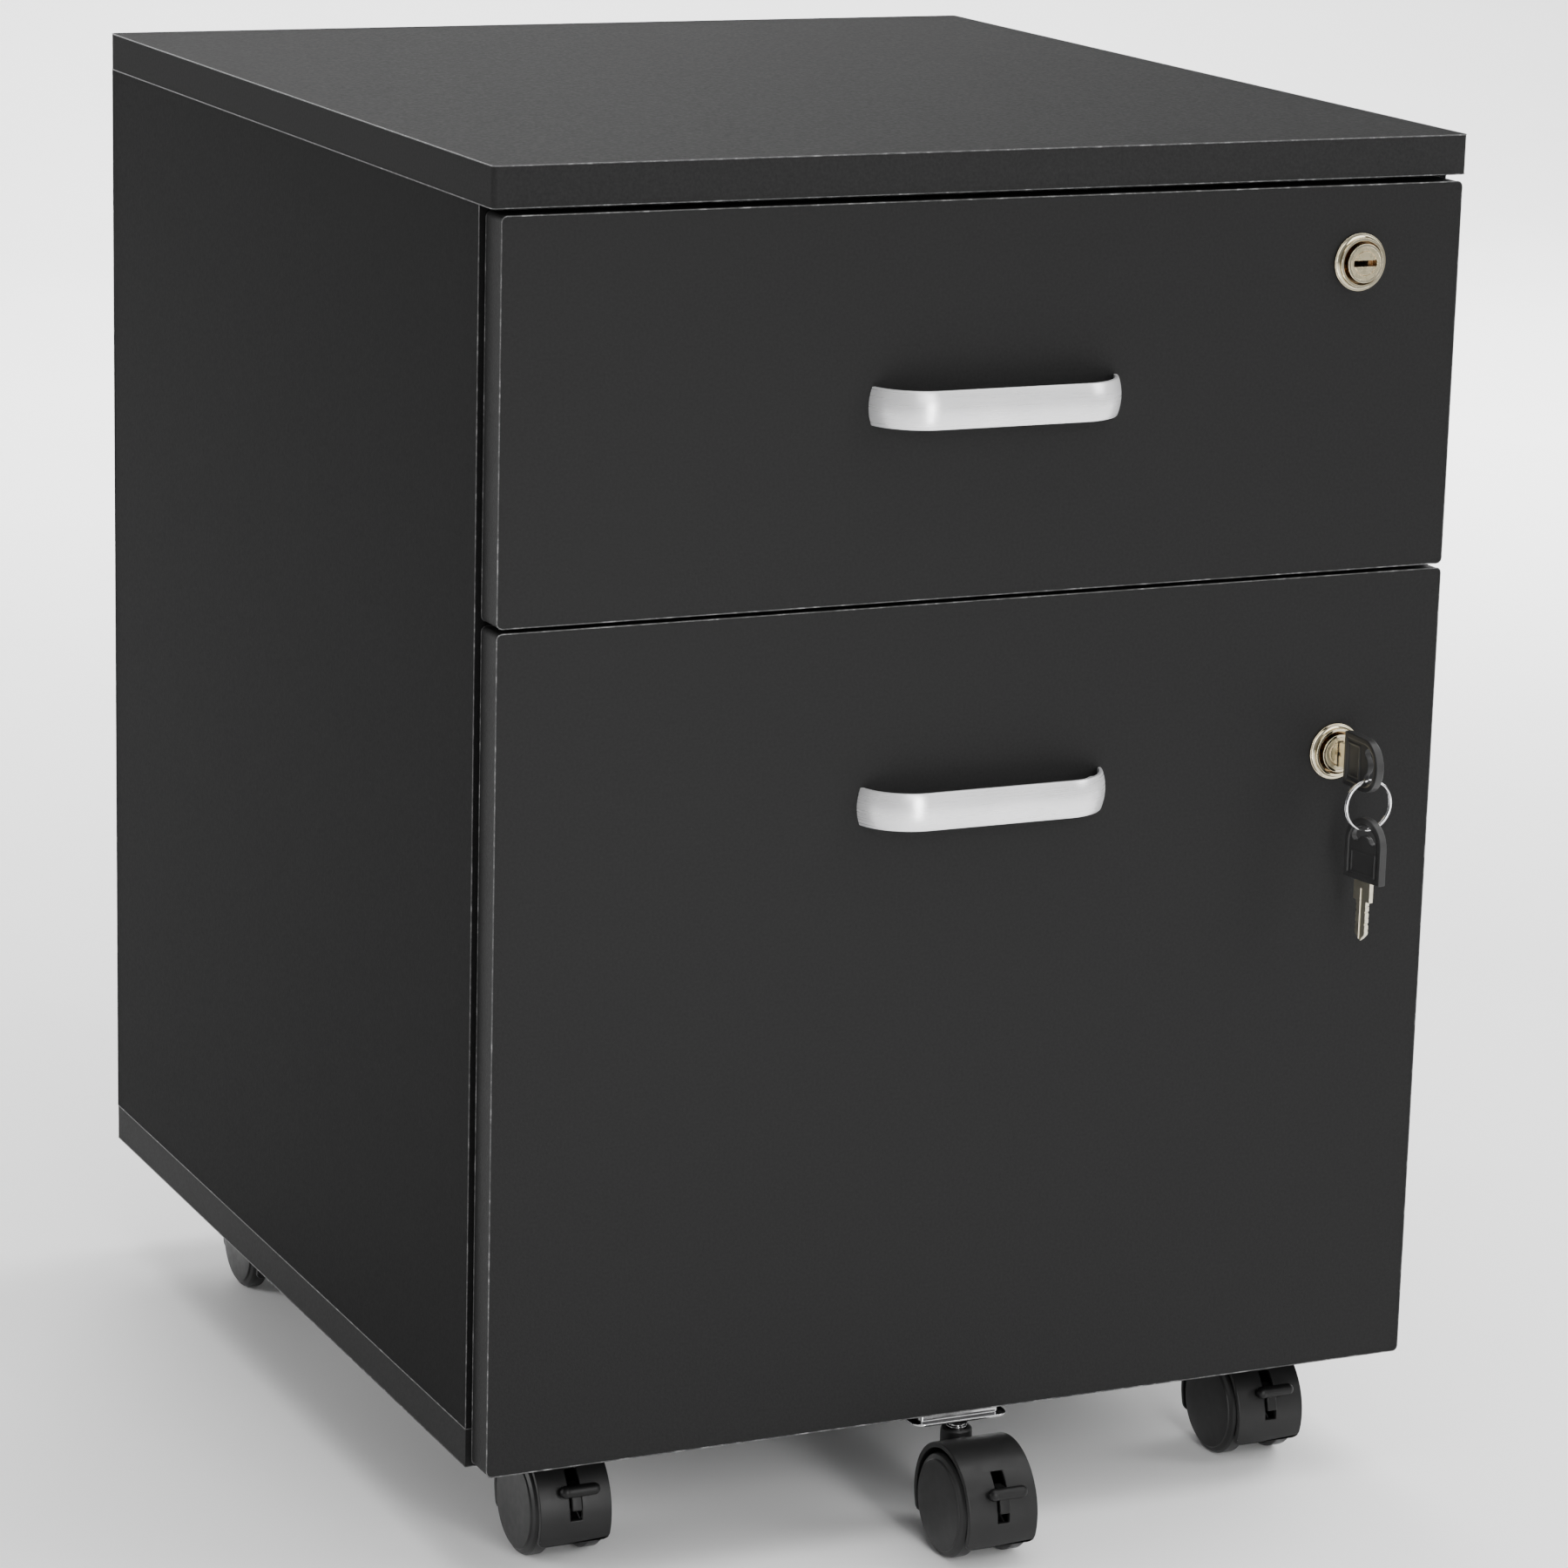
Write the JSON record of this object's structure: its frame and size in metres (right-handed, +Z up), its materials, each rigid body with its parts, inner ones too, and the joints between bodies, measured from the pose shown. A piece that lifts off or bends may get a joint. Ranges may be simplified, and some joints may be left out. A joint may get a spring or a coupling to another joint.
{
  "type": "rolling pedestal cabinet",
  "caption": "Under-desk rolling cabinet: locking box drawer over a locking file drawer, strap pulls, twin-wheel casters and an anti-tip caster.",
  "frame": {"origin": "centre of the footprint's bounding box, on the floor", "axes": "+X to the right of someone facing the drawers, +Y to the back, +Z up"},
  "size_m": [0.4, 0.4898, 0.542],
  "materials": {
    "carcass_board": "black wood-effect melamine, satin",
    "front_board": "black melamine with a fine pebble texture, satin",
    "drawer_box_board": "dark grey melamine, satin",
    "plated_steel": "bright zinc plate",
    "caster_plate": "nickel-chrome plate, polished",
    "handle_metal": "satin anodised",
    "lock_nickel": "warm nickel plate, polished",
    "lock_brass": "satin",
    "hood_plastic": "moulded black nylon, satin",
    "wheel_plastic": "moulded black nylon, satin",
    "key_steel": "nickel plate, satin",
    "key_plastic": "moulded black plastic, satin",
    "ring_steel": "polished"
  },
  "bodies": {
    "cabinet": {"top_panel": "carcass_board", "left_side_panel": "carcass_board", "right_side_panel": "carcass_board", "bottom_panel": "carcass_board", "back_panel": "carcass_board", "middle_rail": "carcass_board", "carcass_hardware": "plated_steel", "slide_cabinet_members": "plated_steel", "corner_caster_plates": "caster_plate"},
    "lower_slide_middle": {"lower_slide_middle_members": "plated_steel"},
    "upper_drawer": {"upper_drawer_front": "front_board", "upper_drawer_sides": "drawer_box_board", "upper_drawer_back": "drawer_box_board", "upper_drawer_bottom": "drawer_box_board", "upper_drawer_fasteners": "plated_steel", "upper_slide_drawer_members": "plated_steel", "upper_handle": "handle_metal", "upper_lock_housing": "lock_nickel"},
    "upper_lock": {"upper_lock_plug": "lock_brass", "upper_lock_cam": "plated_steel"},
    "lower_drawer": {"lower_drawer_front": "front_board", "lower_drawer_sides": "drawer_box_board", "lower_drawer_back": "drawer_box_board", "lower_drawer_bottom": "drawer_box_board", "lower_drawer_fasteners": "plated_steel", "lower_slide_drawer_members": "plated_steel", "lower_handle": "handle_metal", "file_rails": "plated_steel", "center_caster_plate": "caster_plate", "lower_lock_housing": "lock_nickel"},
    "lower_lock": {"lower_lock_plug": "lock_brass", "lower_lock_cam": "plated_steel"},
    "key": {"key_blade": "key_steel", "key_bow": "key_plastic"},
    "key_ring": {"key_ring": "ring_steel"},
    "spare_key": {"spare_key_blade": "key_steel", "spare_key_bow": "key_plastic"},
    "front_left_caster": {"front_left_caster_hood": "hood_plastic", "front_left_caster_axle": "plated_steel"},
    "front_left_left_wheel": {"front_left_caster_left_wheel": "wheel_plastic"},
    "front_left_right_wheel": {"front_left_caster_right_wheel": "wheel_plastic"},
    "front_left_brake": {"front_left_caster_brake": "hood_plastic"},
    "front_right_caster": {"front_right_caster_hood": "hood_plastic", "front_right_caster_axle": "plated_steel"},
    "front_right_left_wheel": {"front_right_caster_left_wheel": "wheel_plastic"},
    "front_right_right_wheel": {"front_right_caster_right_wheel": "wheel_plastic"},
    "front_right_brake": {"front_right_caster_brake": "hood_plastic"},
    "rear_left_caster": {"rear_left_caster_hood": "hood_plastic", "rear_left_caster_axle": "plated_steel"},
    "rear_left_left_wheel": {"rear_left_caster_left_wheel": "wheel_plastic"},
    "rear_left_right_wheel": {"rear_left_caster_right_wheel": "wheel_plastic"},
    "rear_right_caster": {"rear_right_caster_hood": "hood_plastic", "rear_right_caster_axle": "plated_steel"},
    "rear_right_left_wheel": {"rear_right_caster_left_wheel": "wheel_plastic"},
    "rear_right_right_wheel": {"rear_right_caster_right_wheel": "wheel_plastic"},
    "center_caster": {"center_caster_hood": "hood_plastic", "center_caster_axle": "plated_steel"},
    "center_left_wheel": {"center_caster_left_wheel": "wheel_plastic"},
    "center_right_wheel": {"center_caster_right_wheel": "wheel_plastic"},
    "center_brake": {"center_caster_brake": "hood_plastic"}
  },
  "joints": [
    {"name": "upper_drawer_slide", "type": "slide", "parent": "cabinet", "child": "upper_drawer", "axis": [0, -1, 0], "range_m": [0, 0.3]},
    {"name": "lower_drawer_slide", "type": "slide", "parent": "cabinet", "child": "lower_drawer", "axis": [0, -1, 0], "range_m": [0, 0.39]},
    {"name": "lower_slide_middle_slide", "type": "slide", "parent": "cabinet", "child": "lower_slide_middle", "axis": [0, -1, 0], "range_m": [0, 0.195]},
    {"name": "upper_lock_turn", "type": "hinge", "parent": "upper_drawer", "child": "upper_lock", "pos_m": [0.1533, -0.20114, 0.4952], "axis": [0, 1, 0], "range_deg": [0, 90]},
    {"name": "lower_lock_turn", "type": "hinge", "parent": "lower_drawer", "child": "lower_lock", "pos_m": [0.1533, -0.20114, 0.3037], "axis": [0, 1, 0], "range_deg": [0, 90]},
    {"name": "key_pull", "type": "slide", "parent": "lower_lock", "child": "key", "axis": [0, -1, 0], "range_m": [0, 0.03]},
    {"name": "key_ring_swing", "type": "hinge", "parent": "key", "child": "key_ring", "pos_m": [0.1533, -0.22865, 0.2987], "axis": [1, 0, 0], "range_deg": [-75, 8]},
    {"name": "spare_key_swing", "type": "hinge", "parent": "key_ring", "child": "spare_key", "pos_m": [0.1533, -0.22865, 0.2789], "axis": [1, 0, 0], "range_deg": [-45, 10]},
    {"name": "front_left_swivel", "type": "hinge", "parent": "cabinet", "child": "front_left_caster", "pos_m": [-0.152, -0.13814, 0.0205], "axis": [0, 0, 1], "continuous": true},
    {"name": "front_left_left_wheel_spin", "type": "hinge", "parent": "front_left_caster", "child": "front_left_left_wheel", "pos_m": [-0.152, -0.15663, 0.0205], "axis": [1, 0, 0], "continuous": true},
    {"name": "front_left_right_wheel_spin", "type": "hinge", "parent": "front_left_caster", "child": "front_left_right_wheel", "pos_m": [-0.152, -0.15663, 0.0205], "axis": [1, 0, 0], "continuous": true},
    {"name": "front_left_brake_press", "type": "hinge", "parent": "front_left_caster", "child": "front_left_brake", "pos_m": [-0.152, -0.15663, 0.0205], "axis": [1, 0, 0], "range_deg": [0, 7]},
    {"name": "front_right_swivel", "type": "hinge", "parent": "cabinet", "child": "front_right_caster", "pos_m": [0.152, -0.13814, 0.0205], "axis": [0, 0, 1], "continuous": true},
    {"name": "front_right_left_wheel_spin", "type": "hinge", "parent": "front_right_caster", "child": "front_right_left_wheel", "pos_m": [0.152, -0.15663, 0.0205], "axis": [1, 0, 0], "continuous": true},
    {"name": "front_right_right_wheel_spin", "type": "hinge", "parent": "front_right_caster", "child": "front_right_right_wheel", "pos_m": [0.152, -0.15663, 0.0205], "axis": [1, 0, 0], "continuous": true},
    {"name": "front_right_brake_press", "type": "hinge", "parent": "front_right_caster", "child": "front_right_brake", "pos_m": [0.152, -0.15663, 0.0205], "axis": [1, 0, 0], "range_deg": [0, 7]},
    {"name": "rear_left_swivel", "type": "hinge", "parent": "cabinet", "child": "rear_left_caster", "pos_m": [-0.152, 0.19087, 0.0205], "axis": [0, 0, 1], "continuous": true},
    {"name": "rear_left_left_wheel_spin", "type": "hinge", "parent": "rear_left_caster", "child": "rear_left_left_wheel", "pos_m": [-0.152, 0.17236, 0.0205], "axis": [1, 0, 0], "continuous": true},
    {"name": "rear_left_right_wheel_spin", "type": "hinge", "parent": "rear_left_caster", "child": "rear_left_right_wheel", "pos_m": [-0.152, 0.17236, 0.0205], "axis": [1, 0, 0], "continuous": true},
    {"name": "rear_right_swivel", "type": "hinge", "parent": "cabinet", "child": "rear_right_caster", "pos_m": [0.152, 0.19087, 0.0205], "axis": [0, 0, 1], "continuous": true},
    {"name": "rear_right_left_wheel_spin", "type": "hinge", "parent": "rear_right_caster", "child": "rear_right_left_wheel", "pos_m": [0.152, 0.17236, 0.0205], "axis": [1, 0, 0], "continuous": true},
    {"name": "rear_right_right_wheel_spin", "type": "hinge", "parent": "rear_right_caster", "child": "rear_right_right_wheel", "pos_m": [0.152, 0.17236, 0.0205], "axis": [1, 0, 0], "continuous": true},
    {"name": "center_swivel", "type": "hinge", "parent": "lower_drawer", "child": "center_caster", "pos_m": [0, -0.19914, 0.0205], "axis": [0, 0, 1], "continuous": true},
    {"name": "center_left_wheel_spin", "type": "hinge", "parent": "center_caster", "child": "center_left_wheel", "pos_m": [0, -0.21763, 0.0205], "axis": [1, 0, 0], "continuous": true},
    {"name": "center_right_wheel_spin", "type": "hinge", "parent": "center_caster", "child": "center_right_wheel", "pos_m": [0, -0.21763, 0.0205], "axis": [1, 0, 0], "continuous": true},
    {"name": "center_brake_press", "type": "hinge", "parent": "center_caster", "child": "center_brake", "pos_m": [0, -0.21763, 0.0205], "axis": [1, 0, 0], "range_deg": [0, 7]}
  ],
  "couplings": [
    {"joint": "lower_slide_middle_slide", "follows": "lower_drawer_slide", "ratio": 0.5}
  ]
}
